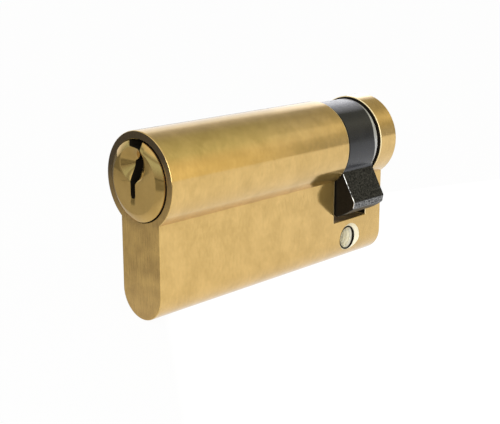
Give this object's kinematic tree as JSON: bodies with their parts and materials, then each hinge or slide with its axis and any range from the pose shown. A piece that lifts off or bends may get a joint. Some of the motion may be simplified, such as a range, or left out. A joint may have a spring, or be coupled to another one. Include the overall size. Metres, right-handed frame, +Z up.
{
  "type": "half euro lock cylinder",
  "caption": "Single-sided brass lock cylinder of the euro profile, with a turning plug and a black cam that throws the bolt of a mortise lock.",
  "frame": {"origin": "on the axis of the fixing screw, in the middle of the web's thickness and of the cam's width", "axes": "+Y along the barrel from the keyhole to the rear, +Z up from the web to the barrel, +X to the right of someone who looks at the keyhole, square to the flat side of the web"},
  "size_m": [0.0183, 0.061, 0.033],
  "materials": {
    "drawn_brass": "drawn brass, finely milled on the front and lightly brushed along the barrel",
    "turned_brass": "turned brass, smooth",
    "pin_brass": "turned brass, bright",
    "bright_steel": "bright steel, smooth",
    "black_sintered_steel": "sintered steel blackened in oil, satin, with a bright worn edge at the rear of the ring"
  },
  "bodies": {
    "housing": {"cylinder_body": "drawn_brass", "chamber_plug_1": "turned_brass", "chamber_plug_2": "turned_brass", "chamber_plug_3": "turned_brass", "chamber_plug_4": "turned_brass", "chamber_plug_5": "turned_brass", "chamber_plug_6": "turned_brass", "pin_spring_1": "bright_steel", "pin_spring_2": "bright_steel", "pin_spring_3": "bright_steel", "pin_spring_4": "bright_steel", "pin_spring_5": "bright_steel", "pin_spring_6": "bright_steel"},
    "plug_group": {"plug": "turned_brass", "retaining_clip": "bright_steel", "cam_coupling": "bright_steel", "cam": "black_sintered_steel"},
    "key_pin_1": {"key_pin_1": "pin_brass"},
    "key_pin_2": {"key_pin_2": "pin_brass"},
    "key_pin_3": {"key_pin_3": "pin_brass"},
    "key_pin_4": {"key_pin_4": "pin_brass"},
    "key_pin_5": {"key_pin_5": "pin_brass"},
    "key_pin_6": {"key_pin_6": "pin_brass"},
    "driver_pin_1": {"driver_pin_1": "bright_steel"},
    "driver_pin_2": {"driver_pin_2": "bright_steel"},
    "driver_pin_3": {"driver_pin_3": "bright_steel"},
    "driver_pin_4": {"driver_pin_4": "bright_steel"},
    "driver_pin_5": {"driver_pin_5": "bright_steel"},
    "driver_pin_6": {"driver_pin_6": "bright_steel"}
  },
  "joints": [
    {"name": "plug_turn", "type": "hinge", "parent": "housing", "child": "plug_group", "pos_m": [0, 0, 0.0195], "axis": [0, 1, 0], "continuous": true},
    {"name": "key_pin_1_lift", "type": "slide", "parent": "plug_group", "child": "key_pin_1", "axis": [0, 0, 1], "range_m": [0, 0.0028]},
    {"name": "key_pin_2_lift", "type": "slide", "parent": "plug_group", "child": "key_pin_2", "axis": [0, 0, 1], "range_m": [0, 0.0019]},
    {"name": "key_pin_3_lift", "type": "slide", "parent": "plug_group", "child": "key_pin_3", "axis": [0, 0, 1], "range_m": [0, 0.0032]},
    {"name": "key_pin_4_lift", "type": "slide", "parent": "plug_group", "child": "key_pin_4", "axis": [0, 0, 1], "range_m": [0, 0.0023]},
    {"name": "key_pin_5_lift", "type": "slide", "parent": "plug_group", "child": "key_pin_5", "axis": [0, 0, 1], "range_m": [0, 0.0014]},
    {"name": "key_pin_6_lift", "type": "slide", "parent": "plug_group", "child": "key_pin_6", "axis": [0, 0, 1], "range_m": [0, 0.0028]},
    {"name": "driver_pin_1_press", "type": "slide", "parent": "housing", "child": "driver_pin_1", "axis": [0, 0, 1], "range_m": [-0.0025, 0], "stiffness_N_per_m": 100, "springref_m": 0.004, "deforming": ["pin_spring_1"]},
    {"name": "driver_pin_2_press", "type": "slide", "parent": "housing", "child": "driver_pin_2", "axis": [0, 0, 1], "range_m": [-0.0025, 0], "stiffness_N_per_m": 100, "springref_m": 0.004, "deforming": ["pin_spring_2"]},
    {"name": "driver_pin_3_press", "type": "slide", "parent": "housing", "child": "driver_pin_3", "axis": [0, 0, 1], "range_m": [-0.0025, 0], "stiffness_N_per_m": 100, "springref_m": 0.004, "deforming": ["pin_spring_3"]},
    {"name": "driver_pin_4_press", "type": "slide", "parent": "housing", "child": "driver_pin_4", "axis": [0, 0, 1], "range_m": [-0.0025, 0], "stiffness_N_per_m": 100, "springref_m": 0.004, "deforming": ["pin_spring_4"]},
    {"name": "driver_pin_5_press", "type": "slide", "parent": "housing", "child": "driver_pin_5", "axis": [0, 0, 1], "range_m": [-0.0025, 0], "stiffness_N_per_m": 100, "springref_m": 0.004, "deforming": ["pin_spring_5"]},
    {"name": "driver_pin_6_press", "type": "slide", "parent": "housing", "child": "driver_pin_6", "axis": [0, 0, 1], "range_m": [-0.0025, 0], "stiffness_N_per_m": 100, "springref_m": 0.004, "deforming": ["pin_spring_6"]}
  ]
}
